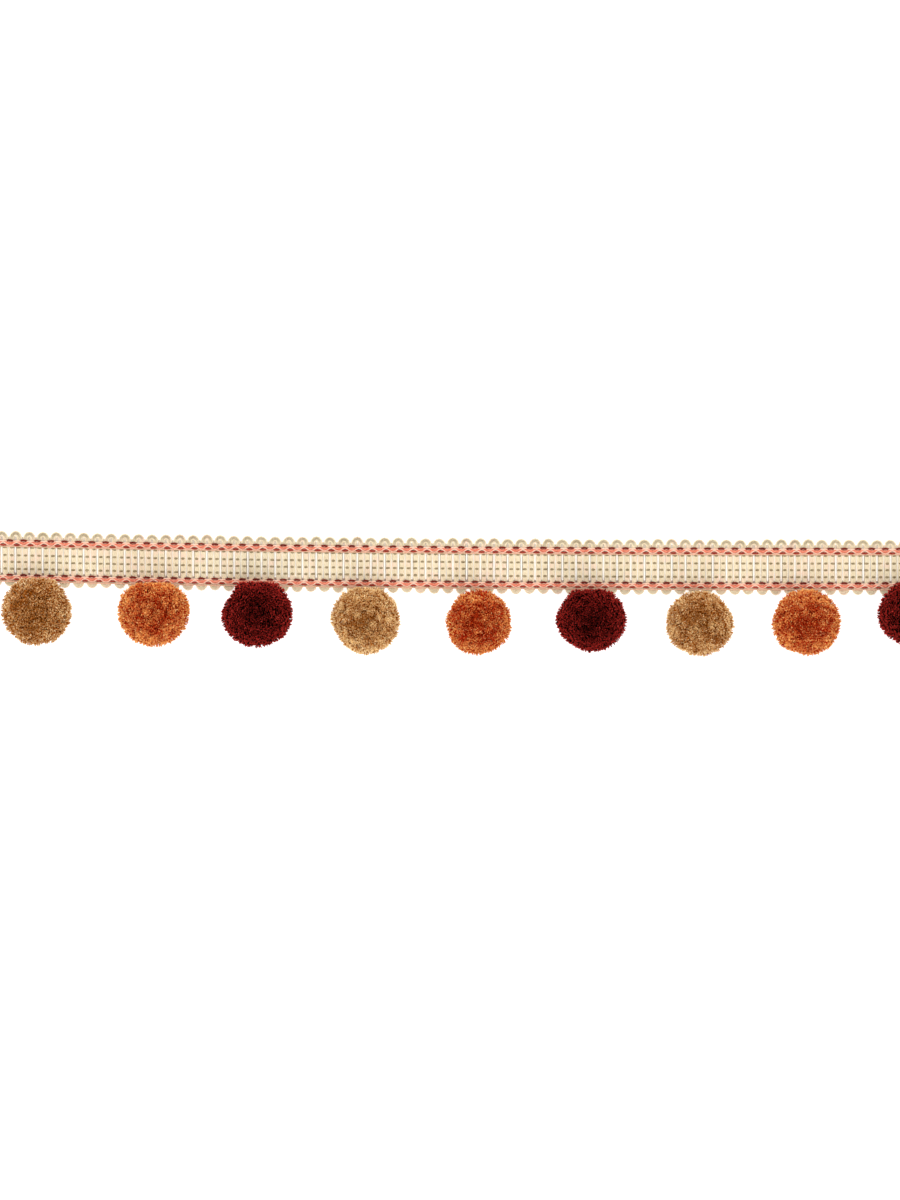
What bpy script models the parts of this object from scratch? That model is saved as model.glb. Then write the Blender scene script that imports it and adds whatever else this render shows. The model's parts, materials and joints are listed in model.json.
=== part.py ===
"""A cut length of pompom fringe trim, lying face up on a flat surface.

A woven heading has a scalloped edge of weft loops on both sides and a beaded cord in a channel
near each edge. Nine pompoms in three colours hang from its lower edge, each on a short tie.
X runs along the heading, Y across it towards the loops that carry no pompoms, and Z up.
The origin is the middle of the heading's back, which lies on the surface at Z = 0.
"""

import math
import random

import bmesh
import bpy
from mathutils import Matrix, Vector

MM = 0.001

# The heading: a row of weft loops, one every picot pitch, on each edge of a woven ground.
PICOT_PITCH = 3.6 * MM
PICOTS = 73
STATIONS_PER_PICOT = 4
UPPER_CREST = 7.55 * MM
LOWER_CREST = 7.35 * MM
LOOP_SHOULDER = 0.30 * MM
LOOP_NOTCH = 1.25 * MM
LOOP_UNEVENNESS = 0.15 * MM
LOOP_WAVE = 2.4
LOOP_SWELL = 0.37
EDGE_HEIGHT = 1.0 * MM
RIB_HEIGHT = 1.75 * MM
VALLEY_HEIGHT = 1.45 * MM

# The heading doesn't lie straight: its left end bends up the surface by this much.
BEND_RISE = 2.1 * MM
BEND_START = 120.0 * MM
BEND_LENGTH = 236.0 * MM
BEND_POWER = 2.5

# The two beaded cords, each in a channel that the weave leaves for it.
CORD_LINES = {"coral_cord_upper": 4.50 * MM, "coral_cord_lower": -4.55 * MM}
CHANNEL_FLOOR = 1.0 * MM
CHANNEL_HALF_FLOOR = 0.85 * MM
CHANNEL_HALF_TOP = 1.30 * MM
CORD_HEIGHT = 1.92 * MM
BEAD_HALF_WIDTH = 0.95 * MM
BEAD_HALF_HEIGHT = 0.70 * MM
BEAD_PINCH = 0.62
CORD_SIDES = 6

# The pompoms: where each one lies and how large it is, in millimetres.
# "drop" is from the heading's middle line to the pompom's middle.
POMPOM_COLUMNS = ("colour", "along", "drop", "width", "height")
POMPOM_ROWS = (
    ("tan", -114.4, 13.35, 18.2, 18.3),
    ("rust", -84.0, 12.85, 18.9, 18.5),
    ("burgundy", -57.0, 13.00, 18.9, 18.0),
    ("tan", -28.7, 14.40, 18.2, 18.1),
    ("rust", 0.8, 14.70, 17.4, 17.2),
    ("burgundy", 30.3, 13.70, 18.7, 17.7),
    ("tan", 58.5, 14.70, 17.9, 17.1),
    ("rust", 86.4, 14.35, 18.0, 17.4),
    ("burgundy", 114.2, 12.10, 18.2, 17.6),
)

# The locks of pile: shares of the pompom's radius. The lowest lock is shorter and has a level tip.
REST_SHARE = 0.93
ROOT_SHARE = 0.64
LOCK_GAP = 0.06
LOCK_CROWN = 0.05
LOCK_UNEVENNESS = 0.04
LOCK_SCATTER = 0.045

# Below this height a lock stays clear of the heading's lower edge, and above it a lock may overhang.
OVERHANG_HEIGHT = 3.1 * MM

# The ties, from the heading's lower edge into each pompom, where one lock is left out for them.
TIE_RADIUS = 0.45 * MM
TIE_HEIGHT = 0.75 * MM
TIE_SIDES = 6
CLEARANCE = 0.30 * MM

COLOURS = {
    "ivory": (0.80, 0.68, 0.50, 1.0),
    "coral": (0.62, 0.20, 0.11, 1.0),
    "tan": (0.36, 0.18, 0.06, 1.0),
    "rust": (0.42, 0.09, 0.02, 1.0),
    "burgundy": (0.09, 0.006, 0.004, 1.0),
}
YARN_ROUGHNESS = 0.85

# A loft starts as a flat grid that reaches this far each way, and its seam welds within this distance.
GRID_REACH = 0.5
WELD = 0.001 * MM


def clear_scene():
    for obj in list(bpy.data.objects):
        bpy.data.objects.remove(obj)


def material(name):
    made = bpy.data.materials.new(name)
    made.use_nodes = True
    shader = made.node_tree.nodes["Principled BSDF"]
    shader.inputs["Base Color"].default_value = COLOURS[name]
    shader.inputs["Roughness"].default_value = YARN_ROUGHNESS
    shader.inputs["Metallic"].default_value = 0.0
    return made


def bend_rise(along):
    """How far up the surface the heading's middle line lies, counted from its height at the origin."""
    def lift(x):
        share = max(0.0, (BEND_START - x) / BEND_LENGTH)
        return BEND_RISE * share**BEND_POWER

    return lift(along) - lift(0.0)


def add_object(name, bm, colour, collection, parent):
    mesh = bpy.data.meshes.new(name)
    bm.to_mesh(mesh)
    bm.free()
    mesh.materials.append(colour)
    obj = bpy.data.objects.new(name, mesh)
    obj.parent = parent
    collection.objects.link(obj)
    return obj


def lofted_strip(stations, section_at):
    """A closed solid through the rings of points (x, y, z) that section_at gives for each station."""
    sections = [section_at(station) for station in range(stations)]
    around = len(sections[0])
    bm = bmesh.new()
    bmesh.ops.create_grid(bm, x_segments=stations - 1, y_segments=around, size=GRID_REACH)
    for vert in bm.verts:
        station = round((vert.co.x + GRID_REACH) * (stations - 1))
        corner = round((vert.co.y + GRID_REACH) * around) % around
        vert.co = sections[station][corner]
    bmesh.ops.remove_doubles(bm, verts=bm.verts[:], dist=WELD)
    rims = [edge for edge in bm.edges if edge.is_boundary]
    bmesh.ops.holes_fill(bm, edges=rims, sides=around)
    bmesh.ops.recalc_face_normals(bm, faces=bm.faces[:])
    return bm


def loop_reach(station, crest, crest_phase):
    """How far out the edge of weft loops reaches: crests a picot apart, with a notch between them."""
    phase = (station - crest_phase) % STATIONS_PER_PICOT
    drops = {0: 0.0, 1: LOOP_SHOULDER, 2: LOOP_NOTCH, 3: LOOP_SHOULDER}
    loop = (station - crest_phase + 1) // STATIONS_PER_PICOT
    uneven = math.sin(LOOP_WAVE * loop) * math.sin(LOOP_SWELL * loop + crest_phase)
    return crest - drops[phase] + LOOP_UNEVENNESS * uneven


def heading_section(station):
    """The heading's outline at a station: its flat back, its edges and the two cord channels."""
    along = (station / STATIONS_PER_PICOT - PICOTS / 2) * PICOT_PITCH
    upper = loop_reach(station, UPPER_CREST, 0)
    lower = -loop_reach(station, LOWER_CREST, STATIONS_PER_PICOT // 2)
    ground = RIB_HEIGHT if station % 2 else VALLEY_HEIGHT
    shoulder = (EDGE_HEIGHT + RIB_HEIGHT) / 2
    top = [(upper, 0.0), (upper, EDGE_HEIGHT)]
    heights = {"coral_cord_upper": (shoulder, ground), "coral_cord_lower": (ground, shoulder)}
    for name, line in CORD_LINES.items():
        above, below = heights[name]
        top += [
            (line + CHANNEL_HALF_TOP, above),
            (line + CHANNEL_HALF_FLOOR, CHANNEL_FLOOR),
            (line - CHANNEL_HALF_FLOOR, CHANNEL_FLOOR),
            (line - CHANNEL_HALF_TOP, below),
        ]
    top += [(lower, EDGE_HEIGHT), (lower, 0.0)]
    return [(along, across + bend_rise(along), height) for across, height in top]


def cord_section(line):
    """A section function for a beaded cord: full at each weft loop, and pinched between loops."""
    def section(station):
        along = (station / 2 - PICOTS / 2) * PICOT_PITCH
        size = 1.0 if station % 2 else BEAD_PINCH
        ring = []
        for corner in range(CORD_SIDES):
            angle = 2 * math.pi * corner / CORD_SIDES
            across = line + size * BEAD_HALF_WIDTH * math.cos(angle)
            height = CORD_HEIGHT + size * BEAD_HALF_HEIGHT * math.sin(angle)
            ring.append((along, across + bend_rise(along), height))
        return ring

    return section


def turn_from(vector, target):
    """The turn that brings a direction round to a target direction."""
    return vector.rotation_difference(target).to_matrix()


def rhombic_ball(number):
    """A ball of radius 1 with 30 uneven four-sided faces, and that of its faces that looks at the tie."""
    bm = bmesh.new()
    bmesh.ops.create_icosphere(bm, subdivisions=1, radius=1.0)
    edges = bm.edges[:]
    bmesh.ops.poke(bm, faces=bm.faces[:])
    bmesh.ops.dissolve_edges(bm, edges=edges)
    bm.faces.ensure_lookup_table()
    lowest = bm.faces[0]
    down = turn_from(lowest.calc_center_median(), Vector((0, 0, -1)))
    bmesh.ops.rotate(bm, verts=bm.verts[:], matrix=down)
    edge = lowest.edges[number % len(lowest.edges)]
    tied = [face for face in edge.link_faces if face is not lowest][0]
    towards = tied.calc_center_median()
    towards.z = 0
    bmesh.ops.rotate(bm, verts=bm.verts[:], matrix=turn_from(towards, Vector((0, 1, 0))))
    chance = random.Random(number)
    for vert in bm.verts:
        shift = Vector([chance.uniform(-LOCK_SCATTER, LOCK_SCATTER) for _ in range(3)])
        vert.co = (vert.co.normalized() + shift).normalized()
    return bm, tied


def half_size(row):
    return Vector((row["width"], row["height"], row["width"])) * (MM / 2)


def pompom_ball(row, number):
    """A ball of pile locks that stand apart but for their roots, and rest level on the surface."""
    bm, tied = rhombic_ball(number)
    bmesh.ops.scale(bm, verts=bm.verts[:], vec=(ROOT_SHARE,) * 3)
    locks = [face for face in bm.faces if face is not tied]
    bmesh.ops.inset_individual(bm, faces=locks, thickness=LOCK_GAP, use_even_offset=True)
    tips = bmesh.ops.extrude_discrete_faces(bm, faces=locks)["faces"]
    chance = random.Random(number)
    for tip in tips:
        length = 1.0 - LOCK_UNEVENNESS * chance.random()
        for vert in tip.verts:
            vert.co *= length / vert.co.length
    level = min(tips, key=lambda tip: tip.calc_center_median().z)
    bmesh.ops.poke(bm, faces=[tip for tip in tips if tip is not level], offset=LOCK_CROWN)
    half = half_size(row)
    bmesh.ops.scale(bm, verts=bm.verts[:], vec=half)
    floor = -REST_SHARE * half.z
    for vert in bm.verts:
        if vert.co.z < floor:
            vert.co *= floor / vert.co.z
    for vert in level.verts:
        vert.co.z = floor
    edge = row["drop"] * MM - LOWER_CREST - LOOP_UNEVENNESS - CLEARANCE
    for vert in bm.verts:
        if vert.co.z - floor < OVERHANG_HEIGHT and vert.co.y > edge:
            vert.co *= edge / vert.co.y
    bmesh.ops.recalc_face_normals(bm, faces=bm.faces[:])
    return bm


def pompom_centre(row):
    along = row["along"] * MM
    return Vector((along, bend_rise(along) - row["drop"] * MM, REST_SHARE * half_size(row).z))


def tie_ends(row, centre):
    """Where a tie leaves the heading's lower edge, and where it meets the pile's roots."""
    edge = centre.copy()
    edge.y = bend_rise(centre.x) - LOWER_CREST - LOOP_UNEVENNESS - CLEARANCE - TIE_RADIUS
    edge.z = TIE_HEIGHT
    way = (centre - edge).normalized()
    return edge, centre - way * ROOT_SHARE * half_size(row).z


def tie_between(start, end):
    span = end - start
    bm = bmesh.new()
    bmesh.ops.create_cone(
        bm,
        cap_ends=True,
        segments=TIE_SIDES,
        radius1=TIE_RADIUS,
        radius2=TIE_RADIUS,
        depth=span.length,
        matrix=Matrix.Translation((start + end) / 2) @ span.to_track_quat("Z", "Y").to_matrix().to_4x4(),
    )
    return bm


def build():
    clear_scene()
    trim = bpy.data.collections.new("pompom_fringe")
    bpy.context.scene.collection.children.link(trim)
    carrier = bpy.data.objects.new("pompom_fringe_origin", None)
    trim.objects.link(carrier)
    shades = {name: material(name) for name in COLOURS}

    stations = STATIONS_PER_PICOT * PICOTS + 1
    add_object("heading", lofted_strip(stations, heading_section), shades["ivory"], trim, carrier)
    for name, line in CORD_LINES.items():
        cord = lofted_strip(2 * PICOTS + 1, cord_section(line))
        add_object(name, cord, shades["coral"], trim, carrier)

    for number, values in enumerate(POMPOM_ROWS, 1):
        row = dict(zip(POMPOM_COLUMNS, values))
        centre = pompom_centre(row)
        ball = add_object(
            f"pompom_{number}", pompom_ball(row, number), shades[row["colour"]], trim, carrier
        )
        ball.location = centre
        tie = tie_between(*tie_ends(row, centre))
        add_object(f"tie_{number}", tie, shades["ivory"], trim, carrier)


build()
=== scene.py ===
# %% [markdown]
# # A length of pompom fringe trim
#
# Pompom fringe is a narrow woven trimming. Its heading is a band that is sewn down, and a row of
# cut-pile pompoms hangs from one edge of it. The solids of this trim are already made at their
# real size. This file gives them their looks, so it loads them first and builds every yarn around
# them.

# %% Load the solids
import json
import math
import random

import bmesh
import bpy
import numpy as np
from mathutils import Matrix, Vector


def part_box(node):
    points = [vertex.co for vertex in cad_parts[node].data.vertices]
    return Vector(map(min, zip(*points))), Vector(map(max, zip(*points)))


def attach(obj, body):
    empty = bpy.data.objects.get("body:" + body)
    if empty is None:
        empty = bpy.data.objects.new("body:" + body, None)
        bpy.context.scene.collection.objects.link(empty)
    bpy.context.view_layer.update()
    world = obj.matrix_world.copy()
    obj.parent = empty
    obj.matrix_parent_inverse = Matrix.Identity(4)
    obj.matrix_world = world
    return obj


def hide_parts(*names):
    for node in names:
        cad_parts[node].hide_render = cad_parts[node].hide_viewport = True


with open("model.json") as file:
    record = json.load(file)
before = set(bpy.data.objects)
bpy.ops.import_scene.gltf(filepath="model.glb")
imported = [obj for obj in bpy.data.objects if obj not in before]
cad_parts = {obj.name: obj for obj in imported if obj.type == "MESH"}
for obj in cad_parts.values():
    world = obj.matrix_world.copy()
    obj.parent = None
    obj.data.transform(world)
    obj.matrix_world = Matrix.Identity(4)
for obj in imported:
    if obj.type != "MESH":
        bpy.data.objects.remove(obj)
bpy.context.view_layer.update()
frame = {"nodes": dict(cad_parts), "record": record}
print("solids:", len(frame["nodes"]))

# %% [markdown]
# ## The heading's plan
#
# One thick weft yarn snakes up and down across the heading. Each turn at an edge leaves a small
# loop, called a picot, so the distance from one picot to the next sets out everything along the
# band. A bright line of the ground shows at each gap line, where two legs of the weft part.
# Midway between two gap lines is a block, where two legs lie close together. The band lies
# straight, apart from its left end, which bends up the surface a little.

# %% Driving sizes
MM = 0.001
PICOT_PITCH = 3.6 * MM
LEG_PITCH = PICOT_PITCH / 2
heading_low, heading_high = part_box("heading")
LENGTH = heading_high.x - heading_low.x
PICOTS = round(LENGTH / PICOT_PITCH)
UPPER_CREST = 7.55 * MM
LOWER_CREST = 7.35 * MM
BINDING_ROWS = (3.10 * MM, 1.05 * MM, -0.70 * MM, -2.50 * MM)
CORD_LINES = {"coral_cord_upper": 4.50 * MM, "coral_cord_lower": -4.60 * MM}
print("picots:", PICOTS, "length in mm:", round(LENGTH / MM, 1))

# %% The heading's slight bend
BEND_RISE = 2.1 * MM
BEND_START = 120.0 * MM
BEND_LENGTH = 236.0 * MM
BEND_POWER = 2.5


def bend_rise(along):
    """How far the heading's middle line lies above the X axis: its left end bends up a little."""
    def lift(x):
        return BEND_RISE * (max(0.0, BEND_START - x) / BEND_LENGTH) ** BEND_POWER

    return lift(along) - lift(0.0)


def on_heading(along, offset, height):
    """A point of the heading, from its place along and across the band and its height."""
    return Vector((along, bend_rise(along) + offset, height))


def gap_line(number):
    """The place along the heading of a gap line, which may also be a number between two."""
    return -LENGTH / 2 + number * PICOT_PITCH


print("left end rises by mm:", round(bend_rise(-LENGTH / 2) / MM, 2))

# %% [markdown]
# ## A short way to write node trees
#
# Shader and geometry trees are graphs, and a graph is easiest to read as an expression. `Wire`
# wraps an output socket and turns Python's operators into Math nodes, or into Vector Math nodes
# where a vector or a colour takes part. `Graph.node` adds any other node: its kind, then its
# settings, then what goes into its sockets.

# %% Wires
class Wire:
    """An output socket that takes part in Python expressions."""

    def __init__(self, graph, socket):
        self.graph = graph
        self.socket = socket

    def combine(self, operation, *terms):
        """The result of an operation on two terms, each of them a wire or a number."""
        kinds = [term.socket.type for term in terms if isinstance(term, Wire)]
        kind = "ShaderNodeMath"
        if "VECTOR" in kinds or "RGBA" in kinds:
            kind = "ShaderNodeVectorMath"
            terms = [term if isinstance(term, Wire) else (term,) * 3 for term in terms]
        return self.graph.node(kind, {"operation": operation}, dict(enumerate(terms)))[0]

    def __add__(self, other):
        return self.combine("ADD", self, other)

    def __radd__(self, other):
        return self.combine("ADD", other, self)

    def __sub__(self, other):
        return self.combine("SUBTRACT", self, other)

    def __rsub__(self, other):
        return self.combine("SUBTRACT", other, self)

    def __mul__(self, other):
        return self.combine("MULTIPLY", self, other)

    def __rmul__(self, other):
        return self.combine("MULTIPLY", other, self)

    def __truediv__(self, other):
        return self.combine("DIVIDE", self, other)

    def __rtruediv__(self, other):
        return self.combine("DIVIDE", other, self)


# %% Graphs
class Graph:
    """A node tree under construction."""

    def __init__(self, tree):
        self.tree = tree

    def node(self, kind, settings=None, sockets=None):
        """Adds a node and returns its outputs as wires, by number, name and identifier."""
        made = self.tree.nodes.new(kind)
        for name, value in (settings or {}).items():
            setattr(made, name, value)
        for key, value in (sockets or {}).items():
            self.plug(made, key, value)
        outputs = {}
        for number, socket in enumerate(made.outputs):
            outputs.setdefault(socket.name, Wire(self, socket))
            outputs[socket.identifier] = Wire(self, socket)
            outputs[number] = Wire(self, socket)
        return outputs

    def plug(self, made, key, value):
        """Links a wire into a node's socket, or sets a plain value on it."""
        if isinstance(key, int):
            socket = made.inputs[key]
        else:
            found = [s for s in made.inputs if s.identifier == key]
            socket = found[0] if found else made.inputs[key]
        if isinstance(value, Wire):
            self.tree.links.new(value.socket, socket)
        else:
            socket.default_value = value

    def maths(self, operation, *terms):
        """A Math node for what Python has no operator for, such as a sine or a comparison."""
        return self.node("ShaderNodeMath", {"operation": operation}, dict(enumerate(terms)))[0]

    def vector(self, x, y, z):
        """A vector from its three parts."""
        return self.node("ShaderNodeCombineXYZ", None, {"X": x, "Y": y, "Z": z})["Vector"]

    def axes(self, vector):
        """The outputs X, Y and Z of a vector."""
        return self.node("ShaderNodeSeparateXYZ", None, {"Vector": vector})


# %% Inputs, outputs and stored values of a geometry tree
def geometry_tree(name, inputs):
    """A new geometry tree with these named inputs, and the wires of its inputs."""
    tree = bpy.data.node_groups.new(name, "GeometryNodeTree")
    for label, kind in inputs.items():
        tree.interface.new_socket(name=label, in_out="INPUT", socket_type="NodeSocket" + kind)
    tree.interface.new_socket(name="Result", in_out="OUTPUT", socket_type="NodeSocketGeometry")
    graph = Graph(tree)
    return graph, graph.node("NodeGroupInput")


def end_tree(graph, geometry, material):
    """Ends a geometry tree: instances become real mesh, with the material on it."""
    real = graph.node("GeometryNodeRealizeInstances", None, {"Geometry": geometry})["Geometry"]
    sockets = {"Geometry": real, "Material": material}
    dressed = graph.node("GeometryNodeSetMaterial", None, sockets)["Geometry"]
    graph.node("NodeGroupOutput", None, {"Result": dressed})


def store(graph, geometry, name, value, kind="FLOAT", domain="POINT"):
    """Stores a value under a name on every point or corner, for a finish or a node to read."""
    settings = {"data_type": kind, "domain": domain}
    sockets = {"Geometry": geometry, "Name": name, "Value": value}
    return graph.node("GeometryNodeStoreNamedAttribute", settings, sockets)["Geometry"]


def recall(graph, name, kind="FLOAT"):
    """A value that was stored under this name, inside a geometry tree."""
    return graph.node("GeometryNodeInputNamedAttribute", {"data_type": kind}, {"Name": name})[0]


def chance_between(graph, low, high, seed):
    """A random number for each point, between two bounds."""
    sockets = {"Min_001": low, "Max_001": high, "Seed": seed}
    return graph.node("FunctionNodeRandomValue", {"data_type": "FLOAT"}, sockets)["Value_001"]


# %% From trees and meshes to finished pieces
def new_object(name, data):
    """An object for a mesh, a curve, a lamp or a camera, at the origin of the scene."""
    made = bpy.data.objects.new(name, data)
    bpy.context.scene.collection.objects.link(made)
    return made


def mesh_object(name, bm):
    """A mesh object from a bmesh, which is freed."""
    mesh = bpy.data.meshes.new(name)
    bm.to_mesh(mesh)
    bm.free()
    return new_object(name, mesh)


def grow(name, source, tree, values):
    """Runs a geometry tree on an object and returns the result as a plain mesh object."""
    modifier = source.modifiers.new(tree.name, "NODES")
    modifier.node_group = tree
    for item in tree.interface.items_tree:
        if item.in_out == "INPUT" and item.name in values:
            modifier[item.identifier] = values[item.name]
    evaluated = source.evaluated_get(bpy.context.evaluated_depsgraph_get())
    mesh = bpy.data.meshes.new_from_object(evaluated)
    mesh.name = name
    bpy.data.objects.remove(source)
    return new_object(name, mesh)


def join(name, pieces):
    """One mesh object from several, which keeps their materials and maps."""
    with bpy.context.temp_override(active_object=pieces[0], selected_editable_objects=pieces):
        bpy.ops.object.join()
    pieces[0].name = name
    pieces[0].data.name = name
    return pieces[0]


def dress(piece, slot, *nodes):
    """Puts a finished piece on the trim's one body, in place of the solids it stands for."""
    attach(piece, "root")
    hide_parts(*nodes)
    piece.data.calc_loop_triangles()
    print(piece.name, "triangles:", len(piece.data.loop_triangles))


# %% [markdown]
# ## Yarn finishes
#
# Every yarn here is soft spun fibre, so one finish with different colours serves all of them.
# Spun fibre runs round its ply in a slow helix. The yarn tree below gives each ply a map that
# counts turns round the ply in U and millimetres along it in V, so a sine of their sum draws the
# helix at any bend, in relief and in colour: its grooves are painted towards the deep colour as
# shade. A noise on the same map makes the fibre uneven. Coarse ones on the object's own
# coordinates change the tone and the tint along the trim, as dye and wear do.

# %% Helpers for finishes
SHEEN_ROUGHNESS = 0.4
FIBRE_GLOSS = 0.3
RELIEF_DEPTH = 0.05 * MM


def new_finish(name, roughness, sheen, tint):
    """A new material with its graph and its shader, which holds what is the same all over."""
    made = bpy.data.materials.new(name)
    made.use_nodes = True
    shader = made.node_tree.nodes["Principled BSDF"]
    shader.inputs["Roughness"].default_value = roughness
    shader.inputs["Sheen Weight"].default_value = sheen
    shader.inputs["Sheen Roughness"].default_value = SHEEN_ROUGHNESS
    shader.inputs["Sheen Tint"].default_value = tint
    shader.inputs["Specular IOR Level"].default_value = FIBRE_GLOSS
    return made, Graph(made.node_tree), shader


def linear(red, green, blue):
    """A linear colour with alpha from the red, green and blue of a display, up to 255."""
    def channel(value):
        share = value / 255
        return share / 12.92 if share <= 0.04045 else ((share + 0.055) / 1.055) ** 2.4

    return (channel(red), channel(green), channel(blue), 1.0)


def mix_colours(graph, share, first, second):
    """A colour that runs from the first to the second as the share goes from 0 to 1."""
    return graph.node(
        "ShaderNodeMix",
        {"data_type": "RGBA", "clamp_factor": True},
        {"Factor_Float": share, "A_Color": first, "B_Color": second},
    )["Result_Color"]


def stored(graph, name):
    """A value that a geometry tree stored under this name, for a finish to read."""
    return graph.node("ShaderNodeAttribute", {"attribute_name": name})["Fac"]


def object_place(graph):
    """Where a point lies in the object's own coordinates."""
    return graph.node("ShaderNodeTexCoord")["Object"]


def noise(graph, place, scale, detail):
    """Soft noise around 0.5, which is finer with more scale and rougher with more detail."""
    sockets = {"Vector": place, "Scale": scale, "Detail": detail}
    return graph.node("ShaderNodeTexNoise", None, sockets)["Fac"]


def raise_relief(graph, shader, strength, height):
    """Lets the light find a fine relief, as high as one fibre is thick."""
    sockets = {"Strength": strength, "Distance": RELIEF_DEPTH, "Height": height}
    graph.plug(shader, "Normal", graph.node("ShaderNodeBump", None, sockets)["Normal"])


# %% Yarn finish
YARN_ROUGHNESS = 0.8
YARN_SHEEN = 0.2
YARN_RELIEF = 0.35
HELIX_TURNS = 3
FIBRE_AROUND = 6.0
FIBRE_ALONG = 2.5
FIBRE_HELIX = 0.2
STRAND_RELIEF = 0.6
STRAND_SHADE_SHARE = 0.45
FIBRE_SHARE = 0.5
DRIFT_SHARE = 0.5
DEEP_SHARE = 0.35
DRIFT_SCALE = 260.0
DYE_SCALE = 420.0
DYE_CONTRAST = 3.0
CORE_SHADE_REACH = 1.25


def yarn_finish(name, light, deep, core=None, tint=None, helix_rate=0.9):
    """Spun fibre between two colours, with a core and painted shade in tight bends and a tint in
    places.
    """
    made, graph, shader = new_finish(name, YARN_ROUGHNESS, YARN_SHEEN, light)
    lay = graph.axes(graph.node("ShaderNodeUVMap", {"uv_map": "lay"})["UV"])
    phase = (lay["X"] * HELIX_TURNS + lay["Y"] * helix_rate) * math.tau
    strands = graph.maths("SINE", phase) * 0.5 + 0.5
    around, along = lay["X"] * FIBRE_AROUND, lay["Y"] * FIBRE_ALONG
    fibre = noise(graph, graph.vector(around, along, phase * FIBRE_HELIX), 1.0, 2.0)
    place = object_place(graph)
    drift = noise(graph, place, DRIFT_SCALE, 2.0)
    # The helix's low grooves are painted towards the deep colour, as shade.
    share = strands * STRAND_SHADE_SHARE + fibre * FIBRE_SHARE + drift * DRIFT_SHARE - DEEP_SHARE
    colour = mix_colours(graph, share, deep, light)
    if tint:
        dye = noise(graph, place, DYE_SCALE, 1.0)
        colour = mix_colours(graph, (dye - 0.5) * DYE_CONTRAST, colour, tint)
    # Painted shade: in the picots' tight bends the colour runs to the darker core colour, which
    # stands for the gimp's core and for the shade inside the loops.
    if core:
        colour = mix_colours(graph, stored(graph, "bend") * (CORE_SHADE_REACH - share), colour, core)
    graph.plug(shader, "Base Color", colour)
    height = strands * STRAND_RELIEF + fibre * (1.0 - STRAND_RELIEF)
    raise_relief(graph, shader, YARN_RELIEF, height)
    return made


# %% The seven yarns' finishes
# The ivory's core colour is partly the gimp's core and partly painted shade in its picots.
ivory = yarn_finish("ivory_gimp", linear(255, 246, 220), linear(222, 202, 164),
                    core=linear(130, 110, 80), tint=linear(246, 218, 196))
# The binding's dark olive is painted shade where it dives between the legs.
shaded_olive = yarn_finish("shaded_olive_binding", linear(186, 168, 132), linear(128, 112, 80))
salmon = yarn_finish("salmon_strand", linear(255, 172, 144), linear(216, 106, 78), helix_rate=0.6)
# The peach strands' pale colour paints the highlights along the beads' edges.
peach = yarn_finish("peach_highlight_strand", linear(255, 236, 214), linear(250, 186, 158), helix_rate=0.6)
claret = yarn_finish("claret_thread", linear(156, 50, 28), linear(72, 12, 6))
brick = yarn_finish("brick_thread", linear(206, 84, 62), linear(120, 26, 18))
rosewood = yarn_finish("rosewood_thread", linear(252, 208, 178), linear(226, 170, 140))
print("yarns:", [finish.name for finish in (ivory, shaded_olive, salmon, peach, claret, brick, rosewood)])

# %% [markdown]
# ## The yarn tree
#
# A yarn is a few plies that follow one path. Modelling each ply by hand would be endless, so a
# geometry tree does it: it copies the path once for each ply, moves the copies apart, side by
# side for a flat gimp or round a circle for a twisted cord, and sweeps a small ring along each.
# The same tree with other numbers makes every yarn of the trim.

# %% The plies' paths
WANDER_SCALE = 700.0
WANDER_STEP = 3.7
GIRTH_WANDER = 0.35


def ply_paths(graph, given):
    """A copy of the path for each ply, in its place in the yarn and with an uneven girth."""
    upright = graph.node("GeometryNodeSetCurveNormal", {"mode": "Z_UP"}, {"Curve": given["Path"]})
    copies = graph.node(
        "GeometryNodeDuplicateElements",
        {"domain": "SPLINE"},
        {"Geometry": upright["Curve"], "Amount": given["Plies"]},
    )
    along = graph.node("GeometryNodeSplineParameter")["Length"]
    number = copies["Duplicate Index"]
    share = (number + 0.5) / given["Plies"] * 2.0 - 1.0
    angle = (along * given["Twist Rate"] + number / given["Plies"]) * math.tau
    place = graph.node("GeometryNodeInputPosition")["Position"]
    wander = graph.node(
        "ShaderNodeTexNoise",
        {"noise_dimensions": "4D"},
        {"Vector": place, "W": number * WANDER_STEP, "Scale": WANDER_SCALE, "Detail": 1.0},
    )
    stray = graph.axes(wander["Color"] - 0.5)
    sideways = given["Spread"] * share + given["Twist Radius"] * graph.maths("COSINE", angle)
    sideways = sideways + stray["X"] * given["Unevenness"]
    crown = given["Crown"] * (1.0 - share * share)
    lift = given["Twist Radius"] * graph.maths("SINE", angle) + crown
    lift = lift + stray["Z"] * given["Unevenness"]
    normal = graph.node("GeometryNodeInputNormal")["Normal"]
    sockets = {
        "Geometry": copies["Geometry"],
        "Offset": normal * sideways + graph.vector(0.0, 0.0, lift),
    }
    laid = graph.node("GeometryNodeSetPosition", None, sockets)["Geometry"]
    girth = graph.node("GeometryNodeInputRadius")["Radius"] * (stray["Y"] * GIRTH_WANDER + 1.0)
    sockets = {"Curve": laid, "Radius": girth}
    sized = graph.node("GeometryNodeSetCurveRadius", None, sockets)["Curve"]
    return store(graph, store(graph, sized, "ply_along", along), "ply", share)


# %% The map round and along a ply
RING_START = 0.01
LAST_SIDE = 0.3


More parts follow.
